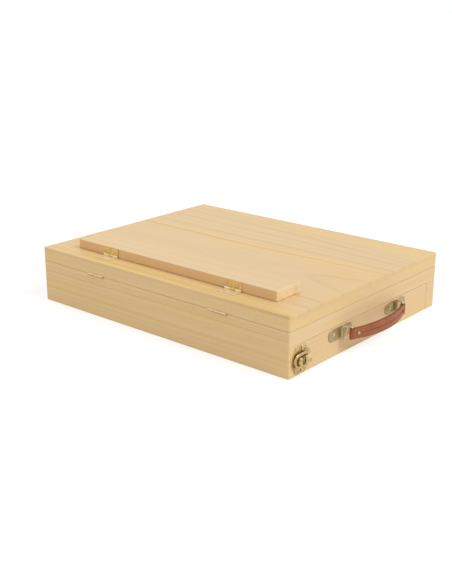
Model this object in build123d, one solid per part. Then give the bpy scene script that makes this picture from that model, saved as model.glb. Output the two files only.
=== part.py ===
"""Table box easel: a flat wooden sketch box whose hinged lid props up as a small easel.

X runs along the long side, left to right. The front is at -Y, where the lid is hinged.
The drawer slides out to the right, along +X. The origin is the centre of the underside.
Lengths are in millimetres.
"""
import os

from build123d import *

# Driving dimensions of the closed box
box_length = 335.0
box_depth = 260.0
box_height = 60.0
overall_height = 70.0
lid_height = 15.0
wall = 12.0
panel = 3.0
seam = 0.25
corner_round = 1.5
edge_break = 0.5
joint_break = 0.2

# Driving dimensions of the drawer and of its bay under the tray
bay_height = 30.0
guide_thickness = 5.0
slide_gap = 0.3
drawer_front_thickness = 11.7
drawer_board = 7.0
drawer_end_gap = 5.0
drawer_head_room = 3.0
drawer_floor = 2.5
floor_lift = 1.6
floor_groove = 3.0
divider = 5.0
divider_head_room = 4.0
long_divider_y = -35.0
cross_divider_x = {"left": -42.0, "right": 58.0}

# Driving dimensions of the ledge on the lid
ledge_length = 270.0
ledge_width = 36.0
ledge_setback = 23.5
ledge_lift = 0.2

# Driving dimensions of the hinges, on the lid's seam and under the ledge
hinge_spread = 84.0
leaf = 0.8
hinge_pin_radius = 0.6
running_gap = 0.05
seam_hinge_length = 23.0
seam_barrel_radius = 1.0
seam_barrel_offset = 1.2
seam_leaf_depth = 10.0
seam_screw_spread = 6.5
seam_screw_length = 8.0
ledge_hinge_length = 20.0
ledge_barrel_radius = 1.2
ledge_barrel_offset = 1.3
ledge_leaf_depth = 11.0
ledge_screw_spread = 6.0
ledge_screw_rise = 4.4
ledge_screw_length = 9.0
flat_head_radius = 1.5
flat_shank_radius = 0.7

# Driving dimensions of the prop under the lid and of the racks that its foot stands in
prop_pivot_from_front = 120.0
prop_pivot_drop = 6.0
prop_length = 116.0
prop_section = 10.0
prop_arm_width = 8.0
prop_spread = 85.0
prop_bar_length = 190.0
prop_pin_radius = 2.0
prop_pin_length = 15.0
lug_gap = 0.3
lug_width = 12.0
lug_half_length = 9.0
lug_below_pivot = 5.5
lug_round = 3.0
rack_spread = 70.0
rack_width = 10.0
rack_height = 7.0
rack_start, rack_end = -45.0, 104.0
rack_notch_depth = 2.5
rack_notch_slope = 7.0
rack_notch_flat = 0.6
rack_notch_at = (-30.0, 8.0, 42.0, 70.0, 91.0)

# Driving dimensions of the carrying handle on the drawer's front
face_plate_thickness = 0.9
plate_rim = 0.35
handle_centre_y = -1.3
handle_centre_z = 22.6
handle_spread = 49.1
handle_plate_length = 38.6
handle_plate_height = 13.0
handle_screw_spread = 10.2
handle_screw_radius = 1.9
handle_screw_length = 10.0
handle_bar_offset = 2.4
handle_bar_radius = 0.8
handle_bar_gap = 0.1
handle_link_half = 6.2
handle_link_corner = 1.2
handle_link_length = 9.8
handle_bulge = 20.8
bridge_half = 4.6
bridge_wall = 1.0
strap_spread = 45.6
strap_height = 12.4
strap_end_height = 10.2
strap_taper_start = 22.0
strap_thickness = 3.2
strap_eye_radius = 2.8
strap_eye_gap = 0.5
rivet_from_eye = 6.0
rivet_radius = 1.0
rivet_head_radius = 1.7
rivet_head = 0.7
rivet_dome = 0.5

# Driving dimensions of the toggle latch at the drawer's front corner
latch_centre_z = 15.2
latch_plate_setback = 0.6
latch_pin_radius = 0.7
latch_pin_offset = 3.0
latch_pin_from_joint = 1.6
latch_ring_pin_reach = 3.4
latch_ring_pin_half = 7.0
latch_screw_radius = 1.7
latch_screw_length = 9.0
strike_width = 11.5
strike_half = 12.9
strike_shoulder = 6.9
strike_nose = 3.8
strike_screw_spread = 9.9
strike_screw_inset = 3.9
hook_half = 3.7
hook_height = 5.5
hook_reach = 7.6
latch_plate_width = 13.8
latch_plate_half = 12.9
latch_plate_shoulder = 6.0
latch_plate_nose = 4.5
latch_plate_screw_spread = 9.3
latch_plate_screw_inset = 4.8
lug_outer = 3.7
lug_thickness = 1.0
knuckle_half = 2.55
knuckle_radius = 1.4
blade_lift = 4.55
blade_edge = 0.7
blade_rise = 1.3
blade_length = 8.6
blade_neck = 4.2
blade_corner = 1.5
blade_tip = 2.8
flange_from_pin = 1.7
flange_lift = 1.7
bow_centre = 5.6
bow_outer = 7.2
bow_inner = 4.5
bow_rim = 0.3
bow_half_thickness = 0.7

# Values worked out from the driving dimensions; over is how far a cut runs past its piece
over = 1.0
half_length = box_length / 2
half_depth = box_depth / 2
base_height = box_height - lid_height
inner_x = half_length - wall
inner_y = half_depth - wall
bay_y = inner_y - guide_thickness
lid_bottom = base_height + seam
panel_bottom = box_height - panel
tray_top = bay_height + panel
face = half_length

NODES = {}


def keep(name, *solids):
    """File one node: a single piece, or a group of like pieces."""
    NODES[name] = solids[0] if len(solids) == 1 else Compound(children=list(solids))


def block(x0, x1, y0, y1, z0, z1):
    """A box between two corners."""
    return Pos((x0 + x1) / 2, (y0 + y1) / 2, (z0 + z1) / 2) * Box(x1 - x0, y1 - y0, z1 - z0)


def rod(radius, start, end):
    """A round bar from one point to another."""
    path = Vector(*end) - Vector(*start)
    return Solid.make_cylinder(radius, path.length, Plane(Vector(*start), z_dir=path))


def upright(radius, x, y, low, high):
    """A round bar that stands along Z."""
    return rod(radius, (x, y, low), (x, y, high))


def closed_face(points):
    """A flat face over a list of corner points."""
    return make_face(Polyline([*points, points[0]]))


def prism(points, low, high):
    """An upright prism over an outline in X and Y."""
    return extrude(closed_face([(x, y, low) for x, y in points]), high - low, dir=(0, 0, 1))


def side_prism(points, x0, x1):
    """A bar along X over an outline in Y and Z."""
    return extrude(closed_face([(x0, y, z) for y, z in points]), x1 - x0, dir=(1, 0, 0))


def screw(head, inward, head_radius, length):
    """A slotted round-head wood screw; head is the centre of the head's seat."""
    seat, way = Vector(*head), Vector(*inward)
    place = Plane(seat, z_dir=-way)
    above = (Align.CENTER, Align.CENTER, Align.MIN)
    below = (Align.CENTER, Align.CENTER, Align.MAX)
    dome = Pos(*(way * (head_radius * 1.25))) * (place * Solid.make_sphere(head_radius * 1.6, angle1=0))
    dome = dome & (place * Cylinder(head_radius, head_radius, align=above))
    slot = Box(head_radius * 2.2, head_radius * 0.3, head_radius * 0.5, align=above)
    shank = place * Cylinder(head_radius * 0.5, length, align=below)
    return (dome - place * Pos(0, 0, head_radius * 0.3) * slot) + shank


def flat_screw(head, inward, length):
    """A countersunk screw; head is the centre of its flat face, level with the leaf's surface."""
    seat, way = Vector(*head), Vector(*inward)
    cone = Solid.make_cone(flat_head_radius, flat_shank_radius, leaf, Plane(seat, z_dir=way))
    return cone + rod(flat_shank_radius, tuple(seat), tuple(seat + way * length))


# Casing of the base: a mitred frame round the tray, on lower walls that are open at the right
def frame_ring(low, high):
    """The hollow rectangle that the walls are cut from, with rounded upright corners."""
    outer = block(-half_length, half_length, -half_depth, half_depth, low, high)
    outer = fillet(outer.edges().filter_by(Axis.Z), corner_round)
    outer = chamfer(outer.faces().sort_by(Axis.Z)[0].edges(), joint_break)
    outer = chamfer(outer.faces().sort_by(Axis.Z)[-1].edges(), joint_break)
    return outer - block(-inner_x, inner_x, -inner_y, inner_y, low - over, high + over)


def mitre(side, low, high, reach=30.0):
    """The wedge of a ring that belongs to one side, bounded by its two mitres."""
    out_x, out_y = half_length + over, half_depth + over
    in_x, in_y = half_length - reach, half_depth - reach
    if side in ("front", "back"):
        s = -1 if side == "front" else 1
        wedge = [(-out_x, s * out_y), (out_x, s * out_y), (in_x, s * in_y), (-in_x, s * in_y)]
    else:
        s = -1 if side == "left" else 1
        wedge = [(s * out_x, -out_y), (s * out_x, out_y), (s * in_x, in_y), (s * in_x, -in_y)]
    return prism(wedge, low, high)


def upper_wall(side):
    """One side of the frame round the tray."""
    return frame_ring(bay_height, base_height) & mitre(side, bay_height, base_height)


def lower_wall(side):
    """One wall beside the drawer: the left one is mitred at both ends, the long ones at the left only."""
    ring = frame_ring(0, bay_height)
    if side == "left":
        return ring & mitre(side, 0, bay_height)
    s = -1 if side == "front" else 1
    out_x, out_y = half_length + over, s * (half_depth + over)
    wedge = [(-out_x, out_y), (out_x, out_y), (out_x, s * inner_y), (-inner_x, s * inner_y)]
    return ring & prism(wedge, 0, bay_height)


front_wall_upper = upper_wall("front")
front_wall_lower = lower_wall("front")
for side in ("back", "left"):
    keep(f"{side}_wall_upper", upper_wall(side))
    keep(f"{side}_wall_lower", lower_wall(side))
keep("right_rail", upper_wall("right"))
keep("bottom_panel", block(-inner_x, inner_x, -bay_y, bay_y, 0, panel))
keep("tray_floor", block(-inner_x, inner_x, -inner_y, inner_y, bay_height, tray_top))

# Drawer guides: strips inside the long walls, whose ends show beside the drawer's front
drawer_guide_front = block(-inner_x, half_length, -inner_y, -bay_y, 0, bay_height)
keep("drawer_guide_back", block(-inner_x, half_length, bay_y, inner_y, 0, bay_height))

# Notched racks on the tray floor, upright on the side of each notch that takes the prop's push
rack_top = tray_top + rack_height
rack_outline = [(rack_start, tray_top), (rack_start, rack_top)]
for y in rack_notch_at:
    foot = y + rack_notch_flat
    rack_outline += [(y - rack_notch_slope, rack_top), (foot, rack_top - rack_notch_depth), (foot, rack_top)]
rack_outline += [(rack_end, rack_top), (rack_end, tray_top)]
for name, s in (("left", -1), ("right", 1)):
    rack_x = s * rack_spread
    keep(f"rack_{name}", side_prism(rack_outline, rack_x - rack_width / 2, rack_x + rack_width / 2))

# Lid: a mitred frame under a thin top panel
for side in ("back", "left", "right"):
    keep(f"lid_{side}_rail", frame_ring(lid_bottom, panel_bottom) & mitre(side, lid_bottom, panel_bottom))
lid_front_rail = frame_ring(lid_bottom, panel_bottom) & mitre("front", lid_bottom, panel_bottom)

lid_panel = block(-half_length, half_length, -half_depth, half_depth, panel_bottom, box_height)
lid_panel = fillet(lid_panel.edges().filter_by(Axis.Z), corner_round)
lid_panel = fillet(lid_panel.faces().sort_by(Axis.Z)[-1].edges(), edge_break)

# Butt hinges: two leaves of thin brass rolled round one pin, with the pin along X.
# The barrel's middle third belongs to one leaf and its end thirds to the other.
MIDDLE = ((0.342, 0.658),)
ENDS = ((0.0, 0.333), (0.667, 1.0))
barrel_gap = 0.12


def hinge_leaf(x, axis_y, axis_z, length, radius, outline, knuckles):
    """One leaf. outline is its plate in Y and Z; knuckles are its shares of the barrel."""
    start, end = x - length / 2, x + length / 2
    past = ((start - over, axis_y, axis_z), (end + over, axis_y, axis_z))
    plate = side_prism(outline, start, end)
    whole = plate - rod(radius + barrel_gap, *past)
    for first, last in knuckles:
        x0, x1 = start + first * length, start + last * length
        whole = whole + rod(radius, (x0, axis_y, axis_z), (x1, axis_y, axis_z))
        whole = whole + (plate & block(x0, x1, -box_depth, box_depth, 0, 2 * box_height))
    return whole - rod(hinge_pin_radius + running_gap, *past)


def rectangle(y0, y1, z0, z1):
    """A rectangle's outline in Y and Z."""
    return [(y0, z0), (y1, z0), (y1, z1), (y0, z1)]


# Lid hinges: two butt hinges let into the seam at the front
seam_axis_y = -half_depth - seam_barrel_offset
seam_axis_z = base_height + seam / 2
leaf_back = -half_depth + seam_leaf_depth
seam_screw_y = -half_depth + seam_leaf_depth * 0.55
half_hinge = seam_hinge_length / 2
base_leaf_outline = rectangle(seam_axis_y, leaf_back, base_height - leaf, base_height)
lid_leaf_outline = rectangle(seam_axis_y, leaf_back, lid_bottom, lid_bottom + leaf)
base_leaves, lid_leaves, base_screws, lid_screws, seam_pins = [], [], [], [], []
for x in (-hinge_spread, hinge_spread):
    for dx in (-seam_screw_spread, seam_screw_spread):
        base_screws.append(flat_screw((x + dx, seam_screw_y, base_height), (0, 0, -1), seam_screw_length))
        lid_screws.append(flat_screw((x + dx, seam_screw_y, lid_bottom), (0, 0, 1), seam_screw_length))
    place = (x, seam_axis_y, seam_axis_z, seam_hinge_length, seam_barrel_radius)
    base_leaves.append(hinge_leaf(*place, base_leaf_outline, MIDDLE) - base_screws[-1] - base_screws[-2])
    lid_leaves.append(hinge_leaf(*place, lid_leaf_outline, ENDS) - lid_screws[-1] - lid_screws[-2])
    pin_ends = [(x + s * half_hinge, seam_axis_y, seam_axis_z) for s in (-1, 1)]
    seam_pins.append(rod(hinge_pin_radius, *pin_ends))
    recess = block(x - half_hinge, x + half_hinge, -half_depth - over, leaf_back,
                   base_height - leaf, lid_bottom + leaf)
    front_wall_upper = front_wall_upper - recess
    lid_front_rail = lid_front_rail - recess
for piece in base_screws:
    front_wall_upper = front_wall_upper - piece
keep("front_wall_upper", front_wall_upper)
for piece in lid_screws:
    lid_front_rail = lid_front_rail - piece
keep("lid_front_rail", lid_front_rail)
keep("lid_hinge_base_leaves", *base_leaves)
keep("lid_hinge_lid_leaves", *lid_leaves)
keep("lid_hinge_pins", *seam_pins)
keep("lid_hinge_base_screws", *base_screws)
keep("lid_hinge_lid_screws", *lid_screws)

# Ledge that a canvas stands on, flat on the lid, hinged at its lower front edge
ledge_front = -half_depth + ledge_setback
ledge_bottom = box_height + ledge_lift
ledge_board = block(-ledge_length / 2, ledge_length / 2, ledge_front, ledge_front + ledge_width,
                    ledge_bottom, overall_height)
ledge_board = fillet(ledge_board.edges(), edge_break)
ledge_axis_y = ledge_front - ledge_barrel_offset
ledge_axis_z = ledge_bottom + ledge_barrel_offset
panel_screw_y = ledge_axis_y - ledge_leaf_depth * 0.6
half_hinge = ledge_hinge_length / 2
upright_outline = rectangle(ledge_front - leaf, ledge_front, ledge_axis_z, overall_height - leaf)
flat_outline = rectangle(ledge_axis_y - ledge_leaf_depth, ledge_axis_y, box_height, box_height + leaf)
board_leaves, panel_leaves, board_screws, panel_screws, ledge_pins = [], [], [], [], []
for x in (-hinge_spread, hinge_spread):
    for dx in (-ledge_screw_spread, ledge_screw_spread):
        high = (x + dx, ledge_front - leaf, ledge_axis_z + ledge_screw_rise)
        low = (x + dx, panel_screw_y, box_height + leaf)
        board_screws.append(flat_screw(high, (0, 1, 0), ledge_screw_length))
        panel_screws.append(flat_screw(low, (0, 0, -1), panel))
    place = (x, ledge_axis_y, ledge_axis_z, ledge_hinge_length, ledge_barrel_radius)
    board_leaves.append(hinge_leaf(*place, upright_outline, MIDDLE) - board_screws[-1] - board_screws[-2])
    panel_leaves.append(hinge_leaf(*place, flat_outline, ENDS) - panel_screws[-1] - panel_screws[-2])
    pin_ends = [(x + s * half_hinge, ledge_axis_y, ledge_axis_z) for s in (-1, 1)]
    ledge_pins.append(rod(hinge_pin_radius, *pin_ends))
for piece in board_screws:
    ledge_board = ledge_board - piece
for piece in panel_screws:
    lid_panel = lid_panel - piece
keep("ledge_board", ledge_board)
keep("lid_panel", lid_panel)
keep("ledge_hinge_ledge_leaves", *board_leaves)
keep("ledge_hinge_lid_leaves", *panel_leaves)
keep("ledge_hinge_pins", *ledge_pins)
keep("ledge_hinge_ledge_screws", *board_screws)
keep("ledge_hinge_lid_screws", *panel_screws)

# Prop: a wooden frame folded flat under the lid, pivoted on two lugs
pivot_y = -half_depth + prop_pivot_from_front
pivot_z = panel_bottom - prop_pivot_drop
half_arm, half_section = prop_arm_width / 2, prop_section / 2
bar_y = pivot_y + prop_length
lugs, prop_pins = [], []
for name, s in (("left", -1), ("right", 1)):
    x = s * prop_spread
    low_x, high_x = x - half_arm, x + half_arm
    arm = block(low_x, high_x, pivot_y, bar_y - half_section, pivot_z - half_section, pivot_z + half_section)
    arm = arm + rod(half_section, (low_x, pivot_y, pivot_z), (high_x, pivot_y, pivot_z))
    past_arm = ((low_x - over, pivot_y, pivot_z), (high_x + over, pivot_y, pivot_z))
    bore = rod(prop_pin_radius + running_gap, *past_arm)
    keep(f"prop_arm_{name}", arm - bore)
    pin_start = x - s * (half_arm + over)
    pin_end = pin_start + s * prop_pin_length
    pin = rod(prop_pin_radius, (pin_start, pivot_y, pivot_z), (pin_end, pivot_y, pivot_z))
    near, far = sorted((x + s * (half_arm + lug_gap), x + s * (half_arm + lug_gap + lug_width)))
    lug = block(near, far, pivot_y - lug_half_length, pivot_y + lug_half_length,
                pivot_z - lug_below_pivot, panel_bottom)
    lugs.append(fillet(lug.edges().filter_by(Axis.X).sort_by(Axis.Z)[:2], lug_round) - pin)
    prop_pins.append(pin)
keep("prop_lugs", *lugs)
keep("prop_pins", *prop_pins)
prop_bar = block(-prop_bar_length / 2, prop_bar_length / 2, bar_y - half_section, bar_y + half_section,
                 pivot_z - half_section, pivot_z + half_section)
keep("prop_foot_bar", fillet(prop_bar.edges().filter_by(Axis.X), 2 * edge_break))

# Drawer: an inset front, two sides, an end, a thin bottom let into grooves, and dividers
drawer_low = panel + slide_gap
drawer_high = bay_height - drawer_head_room
drawer_left = -inner_x + drawer_end_gap
front_inner_x = half_length - drawer_front_thickness
front_y = bay_y - slide_gap
side_y = bay_y - 1.5 * slide_gap
inside_x = drawer_left + drawer_board
inside_y = side_y - drawer_board
floor_low, floor_high = drawer_low + floor_lift, drawer_low + floor_lift + drawer_floor
drawer_front = block(front_inner_x, half_length, -front_y, front_y, slide_gap, bay_height - slide_gap)
drawer_front = fillet(drawer_front.edges(), joint_break)
drawer_bottom = block(inside_x - floor_groove, front_inner_x + floor_groove,
                      -inside_y - floor_groove, inside_y + floor_groove, floor_low, floor_high)
drawer_end = block(drawer_left, inside_x, -inside_y, inside_y, drawer_low, drawer_high)
for name, s in (("front", -1), ("back", 1)):
    near, far = sorted((s * side_y, s * inside_y))
    side_board = block(drawer_left, front_inner_x, near, far, drawer_low, drawer_high)
    keep(f"drawer_side_{name}", side_board - drawer_bottom)
keep("drawer_end", drawer_end - drawer_bottom)
keep("drawer_bottom", drawer_bottom)
divider_high = drawer_high - divider_head_room
long_divider = block(inside_x, front_inner_x, long_divider_y, long_divider_y + divider,
                     floor_high, divider_high)
keep("drawer_long_divider", long_divider)
for name, x in cross_divider_x.items():
    cross_divider = block(x, x + divider, long_divider_y + divider, inside_y, floor_high, divider_high)
    keep(f"drawer_cross_divider_{name}", cross_divider)

# Carrying handle, the brass: two plates, each with a bridge that holds a loop upright.
# The strap is shorter than the way between the bridges, so both loops lean inwards.
bar_x = face + handle_bar_offset
eye_x = bar_x + (handle_link_length ** 2 - (handle_spread - strap_spread) ** 2) ** 0.5
bore_radius = handle_bar_radius + handle_bar_gap
bridge_radius = handle_bar_radius + bridge_wall
plates, handle_screws = [], []
for name, s in (("front", -1), ("back", 1)):
    y, z = handle_centre_y + s * handle_spread, handle_centre_z
    outline = SlotOverall(handle_plate_length, handle_plate_height, rotation=90)
    plate = Pos(face, y, z) * Rot(0, 90, 0) * extrude(outline, face_plate_thickness)
    plate = fillet(plate.faces().sort_by(Axis.X)[-1].edges(), plate_rim)
    plate = plate + block(face, bar_x, y - bridge_radius, y + bridge_radius, z - bridge_half, z + bridge_half)
    plate = plate + upright(bridge_radius, bar_x, y, z - bridge_half, z + bridge_half)
    plate = plate - upright(bore_radius, bar_x, y, z - handle_plate_height, z + handle_plate_height)
    for dy in (-handle_screw_spread, handle_screw_spread):
        head = (face + face_plate_thickness, y + dy, z)
        handle_screws.append(screw(head, (-1, 0, 0), handle_screw_radius, handle_screw_length))
        plate = plate - handle_screws[-1]
    plates.append(plate)
    low, high, eye_y = z - handle_link_half, z + handle_link_half, handle_centre_y + s * strap_spread
    corners = [(bar_x, y, low), (eye_x, eye_y, low), (eye_x, eye_y, high), (bar_x, y, high)]
    path = FilletPolyline(*corners, radius=handle_link_corner, close=True)
    section = Plane((bar_x, y, z), z_dir=(0, 0, 1)) * Circle(handle_bar_radius)
    keep(f"handle_loop_{name}", sweep(section, path=path))
keep("handle_plates", *plates)
keep("handle_screws", *handle_screws)
for piece in handle_screws:
    drawer_front = drawer_front - piece

# Carrying handle, the strap: a band on an arc between the loops, widest in the middle, with
# an eye round each loop that is roomy enough for the loops to swing
sagitta = face + handle_bulge - eye_x
strap_radius = (strap_spread ** 2 + sagitta ** 2) / (2 * sagitta)
arc_x, arc_y = face + handle_bulge - strap_radius, handle_centre_y
eyes = [(eye_x, handle_centre_y + s * strap_spread) for s in (-1, 1)]
half_strap = strap_thickness / 2
low_z, high_z = handle_centre_z - strap_height / 2, handle_centre_z + strap_height / 2
band = upright(strap_radius + half_strap, arc_x, arc_y, low_z, high_z)
band = band - upright(strap_radius - half_strap, arc_x, arc_y, low_z - over, high_z + over)
past_eyes = [(arc_x + 2 * (x - arc_x), arc_y + 2 * (y - arc_y)) for x, y in eyes]
strap = band & prism([(arc_x, arc_y), *past_eyes], low_z - over, high_z + over)
for x, y in eyes:
    strap = strap + upright(strap_eye_radius, x, y, low_z, high_z)
for x, y in eyes:
    strap = strap - upright(handle_bar_radius + strap_eye_gap, x, y, low_z - over, high_z + over)
end_y = strap_spread + strap_eye_radius + over
top_edge = [(-end_y, strap_end_height / 2), (-strap_taper_start, strap_height / 2),
            (strap_taper_start, strap_height / 2), (end_y, strap_end_height / 2)]
strap_outline = top_edge + [(y, -z) for y, z in reversed(top_edge)]
strap_outline = [(arc_y + y, handle_centre_z + z) for y, z in strap_outline]
strap = strap & side_prism(strap_outline, face, face + 2 * handle_bulge)
rivets = []
for s in (-1, 1):
    rise = s * (strap_spread - rivet_from_eye)
    away = Vector((strap_radius ** 2 - rise ** 2) ** 0.5, rise, 0).normalized()
    centre = Vector(arc_x, arc_y, handle_centre_z) + away * strap_radius
    outer, inner = centre + away * half_strap, centre - away * half_strap
    rivet = rod(rivet_radius, tuple(inner), tuple(outer))
    for start, end in ((outer, outer + away * rivet_head), (inner, inner - away * rivet_head)):
        head = rod(rivet_head_radius, tuple(start), tuple(end))
        rim = head.edges().filter_by(GeomType.CIRCLE).sort_by_distance(centre)[-1]
        rivet = rivet + fillet(rim, rivet_dome)
    strap = strap - rivet
    rivets.append(rivet)
keep("handle_strap", strap)
keep("handle_rivets", *rivets)

# Toggle latch across the joint between the front guide's end and the drawer's front
joint_y = -bay_y
strike_edge = joint_y - latch_plate_setback
plate_edge = joint_y + latch_plate_setback
mid_z = latch_centre_z


def face_plate(points, radius):
    """A plate on the right-hand face, from its outline in Y and height about the latch's centre."""
    plate = side_prism([(y, mid_z + z) for y, z in points], face, face + face_plate_thickness)
    plate = fillet(plate.edges().filter_by(Axis.X), radius)
    return fillet(plate.faces().sort_by(Axis.X)[-1].edges(), plate_rim)


def latch_screw(y, z):
    """A screw through one of the latch's plates."""
    head = (face + face_plate_thickness, y, mid_z + z)
    return screw(head, (-1, 0, 0), latch_screw_radius, latch_screw_length)


def lug_pair(y, x, radius, foot_x):
    """Two lugs with a round end about (x, y) and straight sides down to foot_x."""
    near, far = sorted((x, foot_x))
    pair = []
    for low in (-lug_outer, lug_outer - lug_thickness):
        low, high = mid_z + low, mid_z + low + lug_thickness
        pair.append(upright(radius, x, y, low, high) + block(near, far, y - radius, y + radius, low, high))
    return pair[0] + pair[1]


# Strike: a plate with tapered corners and a hook bent up from it, whose lip points away
# from the drawer
strike_side = [(strike_edge, strike_half), (strike_edge - strike_shoulder, strike_half),
               (strike_edge - strike_width, strike_nose)]
strike = face_plate(strike_side + [(y, -z) for y, z in reversed(strike_side)], 2 * latch_pin_radius)
hook_section = [(1.7, 0), (1.7, 4.2), (2.8, hook_height), (6.4, hook_height), (hook_reach, 4.6),
                (7.2, 3.8), (4.2, 4.0), (3.3, 3.2), (3.3, 0)]
hook_points = [(face + lift, strike_edge - along) for along, lift in hook_section]
hook = prism(hook_points, mid_z - hook_half, mid_z + hook_half)
hook_tip_y = strike_edge - hook_reach + hook_half
hook_plan = rod(hook_half, (face, hook_tip_y, mid_z), (face + 2 * hook_height, hook_tip_y, mid_z))
hook_plan = hook_plan + block(face, face + 2 * hook_height, hook_tip_y, strike_edge,
                              mid_z - hook_half, mid_z + hook_half)
strike = strike + (hook & hook_plan)
strike_screws = [latch_screw(strike_edge - strike_screw_inset, s * strike_screw_spread) for s in (-1, 1)]
for piece in strike_screws:
    strike = strike - piece
    drawer_guide_front = drawer_guide_front - piece
    front_wall_lower = front_wall_lower - piece
keep("front_wall_lower", front_wall_lower)
keep("drawer_guide_front", drawer_guide_front)
keep("latch_strike", strike)
keep("latch_strike_screws", *strike_screws)

# Latch plate: a plate with tapered corners and two lugs that hold the lever's pin
pin_x, pin_y = face + latch_pin_offset, joint_y + latch_pin_from_joint
shoulder_y, nose_y = plate_edge + latch_plate_shoulder, plate_edge + latch_plate_width
plate_half = [(plate_edge, latch_plate_half), (shoulder_y, latch_plate_half), (nose_y, latch_plate_nose)]
latch_plate = face_plate([(y, -z) for y, z in plate_half] + plate_half[::-1], 2 * latch_pin_radius)
latch_plate = latch_plate + lug_pair(pin_y, pin_x, knuckle_radius - running_gap, face)
latch_pin = upright(latch_pin_radius, pin_x, pin_y, mid_z - lug_outer, mid_z + lug_outer)
latch_plate = latch_plate - latch_pin
plate_screw_y = plate_edge + latch_plate_screw_inset
latch_plate_screws = [latch_screw(plate_screw_y, s * latch_plate_screw_spread) for s in (-1, 1)]
for piece in latch_plate_screws:
    latch_plate = latch_plate - piece
    drawer_front = drawer_front - piece
keep("drawer_front", drawer_front - drawer_bottom)
keep("latch_plate", latch_plate)
keep("latch_pin", latch_pin)
keep("latch_plate_screws", *latch_plate_screws)

# Lever: a creased blade over the pin, tapering to a blunt tip, with lugs for the ring's pin and
# both long edges turned down towards the plate
ring_pin_y = pin_y + latch_ring_pin_reach
blade_low = face + blade_lift
blade_start = pin_y - latch_pin_from_joint / 2
blade_end = blade_start + blade_length
blade_half = [(blade_start, blade_neck), (blade_end - blade_corner, blade_neck), (blade_end, blade_tip)]
blade_points = blade_half + [(y, -z) for y, z in reversed(blade_half)]
blade = side_prism([(y, mid_z + z) for y, z in blade_points], blade_low, blade_low + blade_edge + blade_rise)
edge_x, ridge_x = blade_low + blade_edge, blade_low + blade_edge + blade_rise
roof = [(face, -blade_neck - over), (edge_x, -blade_neck - over), (ridge_x, 0), (edge_x, blade_neck + over),
        (face, blade_neck + over)]
roof_face = closed_face([(x, blade_start - over, mid_z + z) for x, z in roof])
blade = blade & extrude(roof_face, blade_length + 2 * over, dir=(0, 1, 0))
knuckle = upright(knuckle_radius, pin_x, pin_y, mid_z - knuckle_half, mid_z + knuckle_half)
web_high = blade_low + joint_break
web = block(pin_x, web_high, blade_start, pin_y + knuckle_radius, mid_z - knuckle_half, mid_z + knuckle_half)
lever = blade + knuckle + web + lug_pair(ring_pin_y, pin_x, knuckle_radius, web_high)
for s in (-1, 1):
    near, far = sorted((mid_z + s * (blade_neck - blade_edge), mid_z + s * blade_neck))
    start, end = pin_y + flange_from_pin, blade_end - blade_corner
    lever = lever + block(face + flange_lift, edge_x, start, end, near, far)
low, high = mid_z - latch_ring_pin_half, mid_z + latch_ring_pin_half
ring_pin = upright(latch_pin_radius, pin_x, ring_pin_y, low, high)
pin_bore = upright(latch_pin_radius + running_gap, pin_x, pin_y, low, high)
keep("latch_lever", lever - pin_bore - ring_pin)
keep("latch_ring_pin", ring_pin)

# Ring: a flat bow that reaches from the lever round the strike's hook
bow_y = joint_y - bow_centre
bow_low, bow_high = pin_x - bow_half_thickness, pin_x + bow_half_thickness
bow = rod(bow_outer, (bow_low, bow_y, mid_z), (bow_high, bow_y, mid_z))
bow = bow + block(bow_low, bow_high, bow_y, ring_pin_y, mid_z - bow_outer, mid_z + bow_outer)
hole = rod(bow_inner, (bow_low - over, bow_y, mid_z), (bow_high + over, bow_y, mid_z))
hole = hole + block(bow_low - over, bow_high + over, bow_y, ring_pin_y + bow_inner,
                    mid_z - bow_inner, mid_z + bow_inner)
ring = bow - hole
ring = fillet(ring.faces().sort_by(Axis.X)[0].edges() + ring.faces().sort_by(Axis.X)[-1].edges(), bow_rim)
for low, high in ((-bow_outer, -bow_inner), (bow_inner, bow_outer)):
    ring = ring + upright(knuckle_radius, pin_x, ring_pin_y, mid_z + low, mid_z + high)
low, high = mid_z - bow_outer - over, mid_z + bow_outer + over
ring = ring - upright(latch_pin_radius + running_gap, pin_x, ring_pin_y, low, high)
keep("latch_ring", ring)

os.makedirs("parts", exist_ok=True)
for name, shape in NODES.items():
    export_step(shape, f"parts/{name}.step")
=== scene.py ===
"""Finish the table box easel: a flat pine sketch box with brass fittings and a leather handle."""
import math
import bpy
import numpy as np
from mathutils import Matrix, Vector


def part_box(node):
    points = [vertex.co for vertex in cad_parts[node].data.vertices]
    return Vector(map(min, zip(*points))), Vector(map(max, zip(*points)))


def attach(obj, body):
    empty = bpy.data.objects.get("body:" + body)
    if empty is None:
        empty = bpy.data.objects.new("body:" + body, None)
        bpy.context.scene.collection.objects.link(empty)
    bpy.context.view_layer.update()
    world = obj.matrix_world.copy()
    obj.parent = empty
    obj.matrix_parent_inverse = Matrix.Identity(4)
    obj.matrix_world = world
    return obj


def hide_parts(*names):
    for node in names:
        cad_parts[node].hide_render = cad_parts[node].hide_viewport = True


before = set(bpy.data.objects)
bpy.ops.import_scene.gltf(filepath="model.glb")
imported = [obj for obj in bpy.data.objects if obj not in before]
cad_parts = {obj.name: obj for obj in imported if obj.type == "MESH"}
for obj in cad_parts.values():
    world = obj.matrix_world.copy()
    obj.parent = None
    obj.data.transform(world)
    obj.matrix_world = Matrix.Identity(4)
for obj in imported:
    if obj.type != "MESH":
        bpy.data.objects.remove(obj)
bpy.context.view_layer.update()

# Camera: it stands off the box's front right corner, a little above it, and looks
# at a point low in the middle. Its place was solved from the box's own corners.
view_azimuth = math.radians(40.65)
view_elevation = math.radians(18.99)
view_distance = 0.977
view_centre = Vector((0.0247, -0.0491, 0.030))
focal_length = 58.16

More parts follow.
